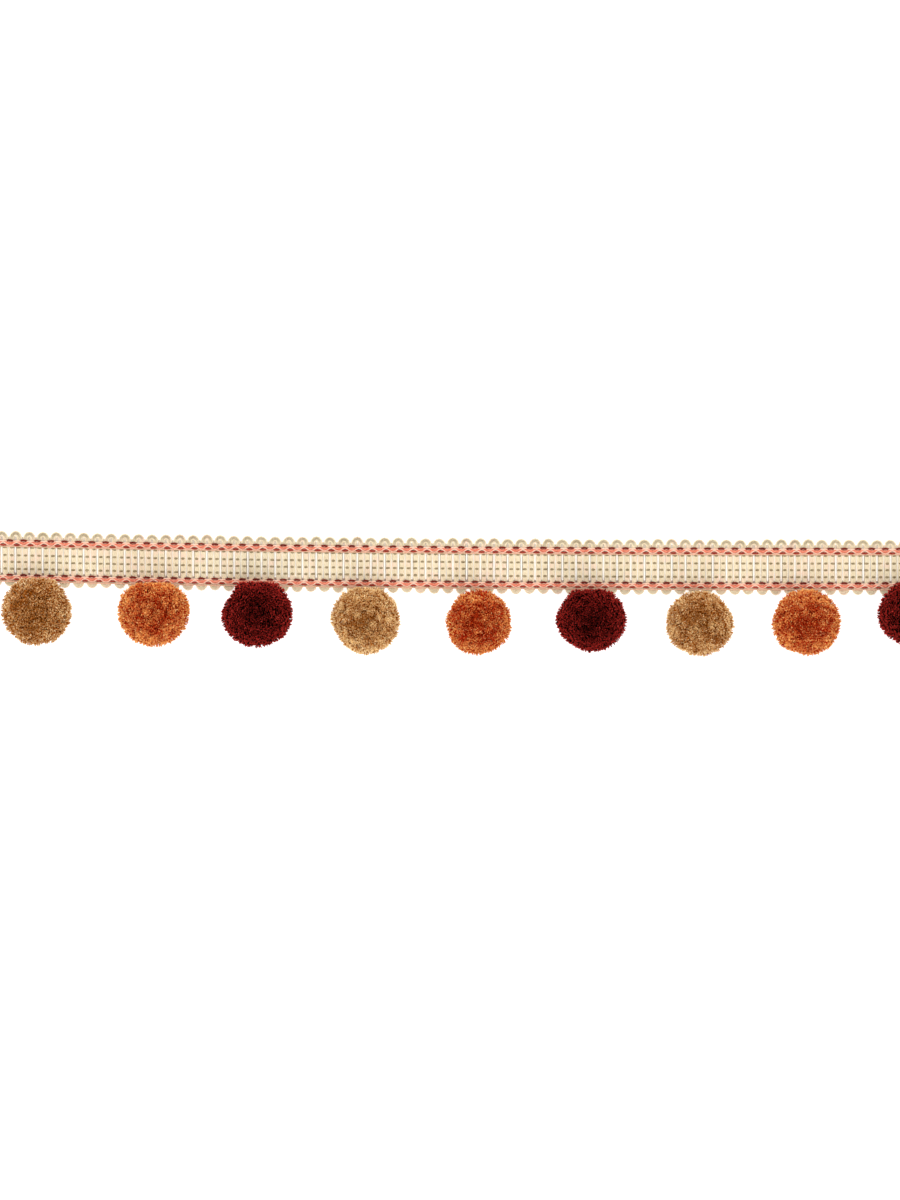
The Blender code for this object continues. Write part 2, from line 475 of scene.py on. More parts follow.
def store_lay(graph, swept):
    """Stores the map "lay": turns round the ply in U, and millimetres along it in V."""
    around = recall(graph, "ply_around")
    along = recall(graph, "ply_along")
    # A ring starts and ends at one point, so the last side's corners there need a whole turn.
    on_face = graph.node(
        "GeometryNodeFieldOnDomain", {"domain": "FACE", "data_type": "FLOAT"}, {0: around}
    )[0]
    at_start = graph.maths("LESS_THAN", around, RING_START)
    last_side = graph.maths("GREATER_THAN", on_face, LAST_SIDE)
    lay = graph.vector(around + at_start * last_side, along / MM, 0.0)
    mapped = store(graph, swept, "lay", lay, kind="FLOAT2", domain="CORNER")
    for name in ("ply_around", "ply_along"):
        sockets = {"Geometry": mapped, "Name": name}
        mapped = graph.node("GeometryNodeRemoveAttribute", None, sockets)["Geometry"]
    return mapped


# %% The yarn tree
def yarn_tree():
    """The tree that turns a path into a yarn of several plies."""
    graph, given = geometry_tree("yarn", {
        "Path": "Geometry", "Plies": "Int", "Ply Radius": "Float", "Spread": "Float",
        "Crown": "Float", "Twist Radius": "Float", "Twist Rate": "Float",
        "Unevenness": "Float", "Sides": "Int", "Material": "Material",
    })
    paths = ply_paths(graph, given)
    ring = graph.node(
        "GeometryNodeCurvePrimitiveCircle",
        {"mode": "RADIUS"},
        {"Resolution": given["Sides"], "Radius": given["Ply Radius"]},
    )["Curve"]
    around = graph.node("GeometryNodeSplineParameter")["Factor"]
    ring = store(graph, ring, "ply_around", around)
    sockets = {"Curve": paths, "Profile Curve": ring, "Fill Caps": True}
    swept = graph.node("GeometryNodeCurveToMesh", None, sockets)["Mesh"]
    mapped = store_lay(graph, swept)
    smooth = graph.node("GeometryNodeSetShadeSmooth", None, {"Geometry": mapped})["Geometry"]
    end_tree(graph, smooth, given["Material"])
    return graph.tree


YARN = yarn_tree()
print("yarn tree nodes:", len(YARN.nodes))

# %% A yarn along a path
def yarn(name, path, finish, girths=None, plies=1, ply=0.2, spread=0.0, crown=0.0,
         twist=0.0, rate=0.0, uneven=0.05, sides=5):
    """A mesh yarn along a list of points. Sizes are in millimetres, and rate in turns a metre."""
    curve = bpy.data.curves.new(name, "CURVE")
    curve.dimensions = "3D"
    spline = curve.splines.new("POLY")
    spline.points.add(len(path) - 1)
    spline.points.foreach_set("co", [value for point in path for value in (*point, 1.0)])
    if girths:
        spline.points.foreach_set("radius", girths)
    return grow(name, new_object(name + "_path", curve), YARN, {
        "Plies": plies, "Ply Radius": ply * MM, "Spread": spread * MM, "Crown": crown * MM,
        "Twist Radius": twist * MM, "Twist Rate": rate, "Unevenness": uneven * MM,
        "Sides": sides, "Material": finish,
    })


# %% [markdown]
# ## The weft
#
# The weft is a flat gimp of four ivory plies. It runs up one leg, round a picot, down the next
# leg and round a picot on the other edge, from one end of the trim to the other without a break.
# It lies high in the ground, dips a little under each binding thread, goes low under the coral
# cords, and lies on the surface in its picots. One path through all of that is simple to compute,
# and the yarn tree then lays the plies on it. A picot bends the plies so tightly that they get a
# darker core colour there, partly the gimp's core and partly painted shade inside the loop, so
# every point stores how far it is into one.

# %% The weft's height and lean
WEFT_HEIGHTS = (
    (0.0, 1.30), (3.2, 1.30), (3.9, 0.98), (4.6, 0.76),
    (5.2, 0.86), (5.9, 0.98), (6.6, 0.86), (7.5, 0.62),
)
BINDING_DIP = 0.13 * MM
BINDING_DIP_WIDTH = 0.45 * MM
LEG_END = 5.7 * MM
LEG_SHIFT = -0.40 * MM
LEG_SHIFT_START = -4.0 * MM


def weft_height(offset):
    """The weft's height at a place across the band, from its table and the bindings' dips."""
    offsets, heights = zip(*WEFT_HEIGHTS)
    height = float(np.interp(abs(offset) / MM, offsets, heights)) * MM
    nearest = min(abs(offset - row) for row in BINDING_ROWS)
    return height - BINDING_DIP * math.exp(-((nearest / BINDING_DIP_WIDTH) ** 2))


def leg_shift(offset):
    """How far the legs stand beside their lower picots: all of it above the lower cord."""
    return LEG_SHIFT * float(np.interp(offset, (-LEG_END, LEG_SHIFT_START), (0.0, 1.0)))


def leg_levels():
    """Where a leg gets points: at each binding row, cord and end, and midway between them."""
    stops = sorted([*BINDING_ROWS, *CORD_LINES.values(), LEG_END, -LEG_END])
    middles = [(low + high) / 2 for low, high in zip(stops, stops[1:])]
    return sorted(stops + middles)


print("points in a leg:", len(leg_levels()))

# %% The weft's path
WEFT_HALF_WIDTH = 0.72 * MM
LEG_PULL = 0.08 * MM
LEG_SWAY = 0.05 * MM
LOOP_STEPS = 6
LOOP_STRAY = 0.16 * MM
LOOP_LEAN = 0.12 * MM
WEFT_SEED = 4


def picot(centre, radius, crest, side, steps, chance):
    """Points round a loop from its left leg to its right one, on the upper or lower side."""
    reach = crest - WEFT_HALF_WIDTH - LEG_END + LOOP_STRAY * chance.uniform(-1.0, 0.6)
    lean = LOOP_LEAN * chance.uniform(-1.0, 1.0)
    for step in steps:
        turn = math.pi * step / LOOP_STEPS
        offset = LEG_END + reach * math.sin(turn)
        along = centre - radius * math.cos(turn) + lean * math.sin(turn)
        yield on_heading(along + leg_shift(side * offset), side * offset, weft_height(offset))


def leg(along, levels):
    """Points of a leg, at these levels in turn."""
    return [on_heading(along + leg_shift(level), level, weft_height(level)) for level in levels]


def weft_path():
    """The whole weft: it starts and ends in the middle of an upper picot."""
    chance = random.Random(WEFT_SEED)
    levels = leg_levels()
    upper_radius = LEG_PITCH / 2 + LEG_PULL
    lower_radius = LEG_PITCH / 2 - LEG_PULL
    middle = LOOP_STEPS // 2
    steps = range(middle, LOOP_STEPS)
    points = list(picot(gap_line(0), upper_radius, UPPER_CREST, 1, steps, chance))
    for number in range(PICOTS):
        down = gap_line(number) + upper_radius
        up = gap_line(number + 1) - upper_radius
        block = gap_line(number) + LEG_PITCH
        sway = LEG_SWAY * chance.uniform(-1.0, 1.0)
        points += leg(down + sway, reversed(levels))
        points += picot(block, lower_radius, LOWER_CREST, -1, range(1, LOOP_STEPS), chance)
        points += leg(up + sway, levels)
        steps = range(1, middle + 1 if number == PICOTS - 1 else LOOP_STEPS)
        points += picot(gap_line(number + 1), upper_radius, UPPER_CREST, 1, steps, chance)
    return points


path = weft_path()
weft = yarn("heading_weft", path, ivory, plies=4, ply=0.20, spread=0.66, crown=0.07,
            twist=0.03, rate=140.0, uneven=0.10, sides=6)
print("points in the weft's path:", len(path))

# %% Bends that show the core colour and painted shade
BEND_FROM = 5.3 * MM
BEND_TO = 6.3 * MM
OUTER_PLIES = 0.75
LOWER_BEND_SHADE_SHARE = 0.30


def mark_bend_shade(piece):
    """Stores how far each point is into a picot, for its core colour and painted shade, more for
    the middle plies than the outer.
    """
    count = len(piece.data.vertices)
    places = np.empty(count * 3)
    piece.data.vertices.foreach_get("co", places)
    places = places.reshape(-1, 3)
    plies = np.empty(count)
    piece.data.attributes["ply"].data.foreach_get("value", plies)
    offsets = np.abs(places[:, 1] - [bend_rise(along) for along in places[:, 0]])
    bends = np.clip((offsets - BEND_FROM) / (BEND_TO - BEND_FROM), 0.0, 1.0)
    bends *= np.clip(1.0 - np.abs(plies) / OUTER_PLIES, 0.0, 1.0)
    # The lower picots take a smaller share of this painted shade.
    bends *= np.where(places[:, 1] < 0.0, LOWER_BEND_SHADE_SHARE, 1.0)
    piece.data.attributes.new("bend", "FLOAT", "POINT").data.foreach_set("value", bends)


mark_bend_shade(weft)
dress(weft, "ivory_yarn", "heading")

# %% [markdown]
# ## The ground between the legs
#
# Behind the weft lies the thin off-white ground of the heading. It shows as a bright line
# wherever two legs part. It is one thin sheet whose top has a raised cord at each gap line and a
# lower one in the middle of each block. A short table gives its section over one picot, so it is
# a grid of points along the heading that bmesh closes. Heights and levels are in millimetres.

# %% The ground's sections
GROUND_BASE = 0.40
GROUND_COLUMNS = ("share", "height")
GROUND_STATIONS = (
    (0.000, 1.52), (0.058, 1.46), (0.090, 0.40), (0.450, 0.40), (0.468, 1.30),
    (0.500, 1.40), (0.532, 1.30), (0.550, 0.40), (0.910, 0.40), (0.942, 1.46),
)
GROUND_LEVELS = (-6.0, -5.4, -4.0, -3.5, -2.5, 0.0, 2.5, 3.6, 4.1, 5.4, 6.0)
RIB_FADE_START = 3.4
RIB_FADE_LENGTH = 0.6
LAST_SECTION = PICOTS * len(GROUND_STATIONS)


def ground_section(number):
    """The ring of points round one section: its top from level to level, between its feet."""
    picots, station = divmod(number, len(GROUND_STATIONS))
    row = dict(zip(GROUND_COLUMNS, GROUND_STATIONS[station]))
    along = gap_line(picots + row["share"])
    along += LEG_SHIFT if 0 < number < LAST_SECTION else 0.0
    ring = [on_heading(along, GROUND_LEVELS[0] * MM, 0.0)]
    for level in GROUND_LEVELS:
        fade = min(1.0, max(0.0, 1.0 - (abs(level) - RIB_FADE_START) / RIB_FADE_LENGTH))
        height = GROUND_BASE + (row["height"] - GROUND_BASE) * fade
        ring.append(on_heading(along, level * MM, height * MM))
    ring.append(on_heading(along, GROUND_LEVELS[-1] * MM, 0.0))
    return ring


sections = [ground_section(number) for number in range(LAST_SECTION + 1)]
print("sections of the ground:", len(sections), "with points:", len(sections[0]))

# %% The ground sheet
def ground_sheet():
    """A grid that is rolled into a tube through all sections, and closed at both ends."""
    around = len(sections[0])
    bm = bmesh.new()
    bmesh.ops.create_grid(bm, x_segments=LAST_SECTION, y_segments=around, size=0.5)
    for vert in bm.verts:
        station = round((vert.co.x + 0.5) * LAST_SECTION)
        corner = round((vert.co.y + 0.5) * around) % around
        vert.co = sections[station][corner]
    bmesh.ops.remove_doubles(bm, verts=bm.verts[:], dist=1e-7)
    ends = [edge for edge in bm.edges if edge.is_boundary]
    bmesh.ops.holes_fill(bm, edges=ends, sides=around)
    bmesh.ops.triangulate(bm, faces=[face for face in bm.faces if len(face.verts) > 4])
    bmesh.ops.recalc_face_normals(bm, faces=bm.faces[:])
    return mesh_object("heading_ground", bm)


CLOTH_ROUGHNESS = 0.75
CLOTH_RELIEF = 0.3
THREAD_PITCH = 0.36 * MM
CLOTH_GRAIN_SCALE = 900.0
CLOTH_THREAD_SHADE = 0.35


def ground_finish():
    """Fine off-white cloth: close threads across the band in relief, with painted shade in their
    grooves.
    """
    tint = linear(255, 252, 246)
    made, graph, shader = new_finish("white_ground_cloth", CLOTH_ROUGHNESS, YARN_SHEEN, tint)
    place = object_place(graph)
    turns = graph.axes(place)["Y"] * (math.tau / THREAD_PITCH)
    threads = graph.maths("SINE", turns) * 0.5 + 0.5
    grain = noise(graph, place, CLOTH_GRAIN_SCALE, 2.0)
    # The threads' grooves, low in the relief, are painted darker, as shade.
    share = threads * CLOTH_THREAD_SHADE + grain * (1.0 - CLOTH_THREAD_SHADE)
    colour = mix_colours(graph, share, linear(246, 236, 218), linear(255, 253, 249))
    graph.plug(shader, "Base Color", colour)
    raise_relief(graph, shader, CLOTH_RELIEF, threads)
    return made


ground = ground_sheet()
ground.data.materials.append(ground_finish())
dress(ground, "ivory_yarn")

# %% [markdown]
# ## The binding threads
#
# Four rows of fine thread hold the legs down. Each comes up over the middle of every leg and
# dives again before the next, so what shows is a row of short dark stitches. The thread is a dark
# olive, which paints the shade where it dives between the legs. The path is a cosine wave, with
# its heights in millimetres. The thread is fuller on its crests and drawn thin where it dives, so
# each stitch looks round.

# %% Over and under
BINDING_MIDDLE = 0.84
BINDING_RISE = 0.42
BINDING_SWELL = 0.58
BINDING_STEP = PICOT_PITCH / 16


def woven_path(offset_at, height_at, step):
    """Points along the whole heading from two functions of the place along it."""
    count = round(LENGTH / step)
    places = [-LENGTH / 2 + LENGTH * number / count for number in range(count + 1)]
    return [on_heading(along, offset_at(along), height_at(along)) for along in places]


def leg_wave(along):
    """A cosine that is 1 on the middle of each leg and -1 between two legs."""
    return math.cos(math.tau * ((along + LENGTH / 2 - LEG_SHIFT) / LEG_PITCH - 0.5))


def binding_height(along):
    """A binding thread's height, with a crest over the middle of each leg."""
    return (BINDING_MIDDLE + BINDING_RISE * leg_wave(along)) * MM


threads = []
for row, line in enumerate(BINDING_ROWS):
    def binding_offset(along, line=line):
        return line

    line_path = woven_path(binding_offset, binding_height, BINDING_STEP)
    girths = [1.0 + BINDING_SWELL * leg_wave(point.x) for point in line_path]
    threads.append(yarn(f"binding_{row}", line_path, shaded_olive, girths=girths, ply=0.41,
                        uneven=0.12, sides=6))
bindings = join("heading_bindings", threads)
dress(bindings, "ivory_yarn")

# %% [markdown]
# ## The coral cords
#
# Near each edge a salmon strand runs inside a chain of small beads: two paler strands part round
# each block and meet at each gap line. Their pale peach paints the highlights along the beads'
# edges. The salmon strand is thick and high in the blocks, and the pale ones are high at the gap
# lines. A claret thread stitches over the chain's upper side at every block, and a brick one over
# its lower side at every gap line. Each dives under the chain in between. A thin rosewood thread
# runs below them. All of these are waves along the heading with different heights. Their sizes
# are in millimetres.

# %% The coral cords' beads
CORD_COLUMNS = ("middle", "stitch", "knot", "underline")
CORD_ROWS = {
    "coral_cord_upper": (4.36, 5.02, 3.70, 3.36),
    "coral_cord_lower": (-4.76, -4.06, -5.30, -5.86),
}
THREAD_STEP = PICOT_PITCH / 12
STRAND_COLUMNS = ("part", "finish", "side", "plies", "ply")
STRAND_ROWS = (
    ("salmon", salmon, 0, 2, 0.25),
    ("peach_up", peach, 1, 1, 0.18),
    ("peach_down", peach, -1, 1, 0.18),
)
BEAD_HEIGHT = 1.34
BEAD_SWAY = 0.20
BEAD_REACH = 0.52
BEAD_WAIST = 0.10
BEAD_SWELL = 0.34
BEAD_LIFT = 0.20
PEACH_RISE = 0.12
SALMON_TWIST = 0.6
SALMON_RATE = 500.0


def block_phase(along):
    """A phase that turns once for each picot, and is zero in the middle of a block."""
    return math.tau * ((along + LENGTH / 2) / PICOT_PITCH - 0.5)


def bead_strand(name, sizes, part, finish, side, plies, ply):
    """The salmon strand in the middle, or a peach one that paints highlights, on the upper side or
    the lower one.
    """
    def offset_at(along):
        phase = block_phase(along)
        belly = math.sqrt(BEAD_WAIST + (1.0 - BEAD_WAIST) * math.cos(phase / 2.0) ** 2)
        return (sizes["middle"] + BEAD_REACH * side * belly - BEAD_SWAY * math.cos(phase)) * MM

    def height_at(along):
        base = BEAD_HEIGHT + (PEACH_RISE if side else 0.0)
        lift = -BEAD_LIFT if side else BEAD_LIFT
        return (base + lift * math.cos(block_phase(along))) * MM

    strand = woven_path(offset_at, height_at, THREAD_STEP)
    swell = 0.0 if side else BEAD_SWELL
    girths = [1.0 + swell * math.cos(block_phase(point.x)) for point in strand]
    return yarn(f"{name}_{part}", strand, finish, girths=girths, plies=plies, ply=ply,
                twist=ply * SALMON_TWIST * (plies - 1), rate=SALMON_RATE, uneven=0.12, sides=6)


# %% The coral cords' stitches
STITCH_COLUMNS = ("part", "finish", "sign", "bias", "ply")
STITCH_ROWS = (
    ("stitch", claret, 1, 0.05, 0.29),
    ("knot", brick, -1, -0.20, 0.27),
)
STITCH_HEIGHT = 1.02
STITCH_RISE = 0.66
STITCH_STEEPNESS = 2.2
STITCH_TUCK = 0.22
UNDERLINE_RISE = 0.34


def cord_stitches(name, sizes, part, finish, sign, bias, ply):
    """A thread that shows over the blocks, or over the gap lines where its sign is -1."""
    def offset_at(along):
        tuck = STITCH_TUCK * (1.0 - sign * math.cos(block_phase(along)))
        return (sizes[part] - sign * tuck) * MM

    def height_at(along):
        rise = sign * math.cos(block_phase(along)) + bias
        return (STITCH_HEIGHT + STITCH_RISE * math.tanh(STITCH_STEEPNESS * rise)) * MM

    stitches = woven_path(offset_at, height_at, THREAD_STEP)
    return yarn(f"{name}_{part}", stitches, finish, ply=ply, uneven=0.14, sides=5)


def cord_underline(name, sizes):
    """The thin thread below a cord, which lies on the legs."""
    line = sizes["underline"] * MM

    def offset_at(along):
        return line

    def height_at(along):
        return weft_height(line) + UNDERLINE_RISE * MM

    underline = woven_path(offset_at, height_at, THREAD_STEP)
    return yarn(f"{name}_underline", underline, rosewood, ply=0.15, uneven=0.14, sides=5)


def coral_cord(name):
    """One of the two cords, joined from its strands, its stitches and its underline."""
    sizes = dict(zip(CORD_COLUMNS, CORD_ROWS[name]))
    made = [bead_strand(name, sizes, **dict(zip(STRAND_COLUMNS, row))) for row in STRAND_ROWS]
    made += [cord_stitches(name, sizes, **dict(zip(STITCH_COLUMNS, row))) for row in STITCH_ROWS]
    made.append(cord_underline(name, sizes))
    return join(name + "_strands", made)


cords = [coral_cord(name) for name in CORD_ROWS]
for cord, name in zip(cords, CORD_ROWS):
    dress(cord, "coral_yarn", name)

# %% [markdown]
# ## The pompoms' pile
#
# A pompom is thousands of fibres bound in the middle and trimmed to a ball. From above the cut
# ends face the eye and look deep and saturated. Towards the rim the fibres' lighter sides show.
# So the colour follows the fibre and not the eye: cut ends get the deep colour as painted shade,
# and so do sides below a shaded level, and above it they run to the light one, painted light on
# the fibres' sides. Dye takes in clouds, a little differently in each pompom, the colour is
# lighter towards the middle of each tuft, and a few fibres get a painted highlight.

# %% Pile finish
PILE_ROUGHNESS = 0.9
PILE_SHEEN = 0.05
PILE_GLOSS = 0.05
CLOUD_SCALE = 290.0
SIDE_SHARE = 1.15
CLOUD_SHARE = 2.1
TONE_SHARE = 0.9
TUFT_SHARE = 1.4
TUFT_MIDDLE = 0.65
GLINT_FROM = 0.82
GLINT_SHARE = 0.5


def pile_finish(name, deep, light, glint, shaded, grain):
    """Cut pile between a deep colour of painted shade and a light one of painted light, with a
    painted glint colour, the shaded level and how strongly its dye varies.
    """
    made, graph, shader = new_finish(name, PILE_ROUGHNESS, PILE_SHEEN, light)
    shader.inputs["Specular IOR Level"].default_value = PILE_GLOSS
    # Cut ends and sides below the shaded level get the deep colour as painted shade; above it the
    # sides run to the light colour as painted light.
    sockets = {"Value": stored(graph, "along"), "From Min": shaded, "From Max": 1.0}
    side = graph.node("ShaderNodeMapRange", None, sockets)["Result"]
    uncut = side * (1.0 - stored(graph, "cut"))
    clouds = noise(graph, object_place(graph), CLOUD_SCALE, 1.0)
    tone = stored(graph, "tone")
    share = uncut * SIDE_SHARE + stored(graph, "dye") + (clouds - 0.5) * (grain * CLOUD_SHARE)
    share = share + (tone - 0.5) * (grain * TONE_SHARE)
    # Lighter towards the middle of each tuft.
    share = share + (stored(graph, "tuft") - TUFT_MIDDLE) * (grain * TUFT_SHARE)
    colour = mix_colours(graph, share, deep, light)
    # A few random fibres get the glint colour on their sides, a painted highlight of the fibres'
    # sheen.
    is_glint = graph.maths("GREATER_THAN", tone, GLINT_FROM)
    colour = mix_colours(graph, is_glint * uncut * GLINT_SHARE, colour, glint)
    graph.plug(shader, "Base Color", colour)
    return made


# The third colour of each pile is its painted highlight.
PILE_COLUMNS = ("deep", "light", "glint", "shaded", "grain")
PILE_ROWS = {
    "tan_pile": (
        linear(166, 92, 18), linear(255, 222, 162), linear(255, 240, 202), 0.80, 0.56,
    ),
    "rust_pile": (
        linear(182, 38, 0), linear(255, 188, 106), linear(255, 228, 168), 0.82, 0.60,
    ),
    "burgundy_pile": (
        linear(12, 1, 0), linear(206, 52, 44), linear(214, 78, 72), 0.87, 0.05,
    ),
}
PILES = {}
for name, row in PILE_ROWS.items():
    PILES[name] = pile_finish(name, **dict(zip(PILE_COLUMNS, row)))
print("pile finishes:", list(PILES))

# %% [markdown]
# ## The pile tree
#
# Nobody could place thousands of fibres by hand, so a tree plants them on a trimmed ball. It
# spreads points evenly over the ball, and a Voronoi pattern gathers them into small tufts that
# lean different ways, which gives the starry grain. The scissors' trim is uneven: it brings most
# points in a little and lets a few stand out, and the lowest ones stay a small gap above the
# surface. Each point then gets a three-sided cone as its fibre, and the ball shrinks to a core
# that hides the far side.

# %% Where the fibres stand
POINT_LIMIT = 4.0
TRIM_SPREAD = 1.5
TUFT_TRIM = 0.4


def plant(graph, given):
    """Trimmed points on the ball that know their tone, tuft, dye and the way they stand."""
    spacing = given["Spacing"]
    points = graph.node(
        "GeometryNodeDistributePointsOnFaces",
        {"distribute_method": "POISSON"},
        {
            "Mesh": given["Form"], "Distance Min": spacing,
            "Density Max": POINT_LIMIT / (spacing * spacing), "Seed": given["Seed"],
        },
    )["Points"]
    place = graph.node("GeometryNodeInputPosition")["Position"]
    outward = graph.node(
        "ShaderNodeVectorMath", {"operation": "NORMALIZE"}, {0: place - given["Centre"]}
    )["Vector"]
    size = given["Tuft Size"]
    tuft = graph.node("ShaderNodeTexVoronoi", None, {"Vector": place, "Scale": 1.0 / size})
    spread = (place - tuft["Position"]) / graph.vector(size, size, size) * given["Tuft Spread"]
    stray = graph.node(
        "FunctionNodeRandomValue",
        {"data_type": "FLOAT_VECTOR"},
        {"Min": (-1.0, -1.0, -1.0), "Max": (1.0, 1.0, 1.0), "Seed": given["Seed"]},
    )["Value"]
    way = outward + spread + (tuft["Color"] - 0.5) * given["Tuft Lean"] + stray * given["Stray"]
    tone = chance_between(graph, 0.0, 1.0, given["Seed"] + 1.0)
    for name, value in (("tone", tone), ("tuft", 1.0 - tuft["Distance"]), ("dye", given["Dye"])):
        points = store(graph, points, name, value)
    points = store(graph, points, "way", way, kind="FLOAT_VECTOR")
    trim = chance_between(graph, 0.0, 1.0, given["Seed"] + 2.0)
    reach = trim * trim * trim * TRIM_SPREAD - 1.0 - tuft["Distance"] * TUFT_TRIM
    end = graph.axes(place + outward * (reach * given["Ragged"]))
    height = graph.maths("MAXIMUM", end["Z"], given["Floor Gap"])
    sockets = {"Geometry": points, "Position": graph.vector(end["X"], end["Y"], height)}
    return graph.node("GeometryNodeSetPosition", None, sockets)["Geometry"]


# %% A fibre on each point
THINNEST = 0.75
THICKEST = 1.25


def fibre_shape(graph, given):
    """A three-sided cone with its cut end at the origin and its root below it."""
    cone = graph.node(
        "GeometryNodeMeshCone",
        {"fill_type": "NGON"},
        {
            "Vertices": 3, "Side Segments": 1, "Radius Top": given["Tip Radius"],
            "Radius Bottom": given["Root Radius"], "Depth": given["Fibre Length"],
        },
    )
    place = graph.node("GeometryNodeInputPosition")["Position"]
    along = graph.axes(place)["Z"] / given["Fibre Length"]
    shape = store(graph, cone["Mesh"], "along", along)
    shape = store(graph, shape, "cut", cone["Top"], domain="CORNER")
    down = graph.vector(0.0, 0.0, given["Fibre Length"] * -1.0)
    sockets = {"Geometry": shape, "Translation": down}
    return graph.node("GeometryNodeTransform", None, sockets)["Geometry"]


def instanced_fibres(graph, given, points):
    """A fibre on each point, along the way that the point stores, and rolled at random."""
    way = {"Vector": recall(graph, "way", kind="FLOAT_VECTOR")}
    turn = graph.node("FunctionNodeAlignRotationToVector", {"axis": "Z"}, way)["Rotation"]
    girth = chance_between(graph, THINNEST, THICKEST, given["Seed"] + 3.0)
    standing = graph.node(
        "GeometryNodeInstanceOnPoints",
        None,
        {
            "Points": points, "Instance": fibre_shape(graph, given), "Rotation": turn,
            "Scale": graph.vector(girth, girth, 1.0),
        },
    )["Instances"]
    roll = graph.vector(0.0, 0.0, chance_between(graph, 0.0, math.tau, given["Seed"] + 4.0))
    sockets = {"Instances": standing, "Rotation": roll, "Local Space": True}
    return graph.node("GeometryNodeRotateInstances", None, sockets)["Instances"]


# %% The pile tree
def pile_tree():
    """The tree that turns a trimmed ball into a core with fibres round it."""
    graph, given = geometry_tree("pile", {
        "Form": "Geometry", "Centre": "Vector", "Spacing": "Float", "Fibre Length": "Float",
        "Tip Radius": "Float", "Root Radius": "Float", "Stray": "Float", "Tuft Size": "Float",
        "Tuft Spread": "Float", "Tuft Lean": "Float", "Ragged": "Float",
        "Floor Gap": "Float", "Core Share": "Float", "Dye": "Float", "Seed": "Int",
        "Material": "Material",
    })
    fibres = instanced_fibres(graph, given, plant(graph, given))
    place = graph.node("GeometryNodeInputPosition")["Position"]
    core_place = given["Centre"] + (place - given["Centre"]) * given["Core Share"]
    sockets = {"Geometry": given["Form"], "Position": core_place}
    core = graph.node("GeometryNodeSetPosition", None, sockets)["Geometry"]
    both = graph.node("GeometryNodeJoinGeometry", None, {"Geometry": core})["Geometry"]
    graph.tree.links.new(fibres.socket, both.socket.node.inputs[0])
    end_tree(graph, both, given["Material"])
    return graph.tree


PILE = pile_tree()
print("pile tree nodes:", len(PILE.nodes))

# %% [markdown]
# ## The trimmed balls
#
# Scissors leave a ball with soft flats, so each one starts as a sphere that planes cut back
# slightly: a few at the angles round it where it shows a flat from above, and some seeded ones.
# It rests on the surface, where its lowest fibres are pressed level, and it stays clear of the
# heading's picots, which slip under it. The pile tree then plants the fibres on it.

# %% Trimmed balls
FLATS = 16
FLAT_DEPTHS = (0.965, 1.0)
FLAT_REACH = 0.5
# Each cut is an angle round the ball in degrees, and a depth as a share of its radius.
CUTS = {
    "pompom_1": ((-128, 0.96), (28, 0.93), (90, 0.91)),
    "pompom_2": ((-180, 0.96), (-195, 0.95), (90, 0.78), (55, 0.90), (125, 0.90)),
    "pompom_3": ((150, 0.88), (-60, 0.96), (90, 0.90), (0, 0.97)),
    "pompom_4": ((-150, 0.90), (-130, 0.93), (15, 0.96), (90, 0.93)),
    "pompom_5": ((-165, 0.94), (-75, 0.96), (5, 0.96), (150, 0.92)),
    "pompom_6": ((-115, 0.95), (-135, 0.95), (20, 0.95), (150, 0.92), (90, 0.87)),
    "pompom_7": ((-120, 0.95), (170, 0.95), (30, 0.94)),
    "pompom_8": ((-110, 0.93), (160, 0.92), (-165, 0.97)),
    "pompom_9": ((-120, 0.96), (160, 0.96)),
}
OVERHANG_HEIGHT = 2.9 * MM
EDGE_CLEARANCE = 0.15 * MM


def flats_of(cuts, seed):
    """The planes that trim a ball: the way that each one faces, and its depth."""
    chance = random.Random(seed)
    flats = []
    for angle, depth in cuts:
        turn = math.radians(angle)
        flats.append((Vector((math.cos(turn), math.sin(turn), 0.0)), depth))
    for _ in range(FLATS):
        way = Vector([chance.gauss(0.0, 1.0) for _ in range(3)]).normalized()
        flats.append((way, chance.uniform(*FLAT_DEPTHS)))
    return flats


def trimmed_ball(name, centre, half, cuts, seed):
    """A ball with its flats, which rests on the surface and stays off the heading."""
    flats = flats_of(cuts, seed)
    edge = bend_rise(centre.x) - LOWER_CREST - EDGE_CLEARANCE - centre.y
    bm = bmesh.new()
    bmesh.ops.create_icosphere(bm, subdivisions=4, radius=1.0)
    for vert in bm.verts:
        facing = [(depth, vert.co.dot(way)) for way, depth in flats]
        reach = min([1.0] + [depth / dot for depth, dot in facing if dot > FLAT_REACH])
        spot = vert.co * reach * half
        if spot.z < -centre.z:
            spot *= -centre.z / spot.z
        if spot.z + centre.z < OVERHANG_HEIGHT and spot.y > edge:
            spot *= edge / spot.y
        vert.co = centre + spot
    return mesh_object(name, bm)


# %% The nine pompoms
PILE_REACH = 1.035
REST_SHARE = 0.95
DYES = {
    "pompom_1": -0.18, "pompom_2": 0.10, "pompom_3": -0.02, "pompom_4": 0.06, "pompom_5": -0.05,
    "pompom_6": -0.04, "pompom_7": -0.03, "pompom_8": -0.01, "pompom_9": -0.03,
}
PILE_SIZES = {
    "Spacing": 0.265 * MM, "Fibre Length": 3.2 * MM, "Tip Radius": 0.15 * MM,
    "Root Radius": 0.11 * MM, "Stray": 0.14, "Tuft Size": 2.4 * MM, "Tuft Spread": 0.5,
    "Tuft Lean": 0.35, "Ragged": 0.75 * MM, "Floor Gap": 0.26 * MM, "Core Share": 0.72,
}


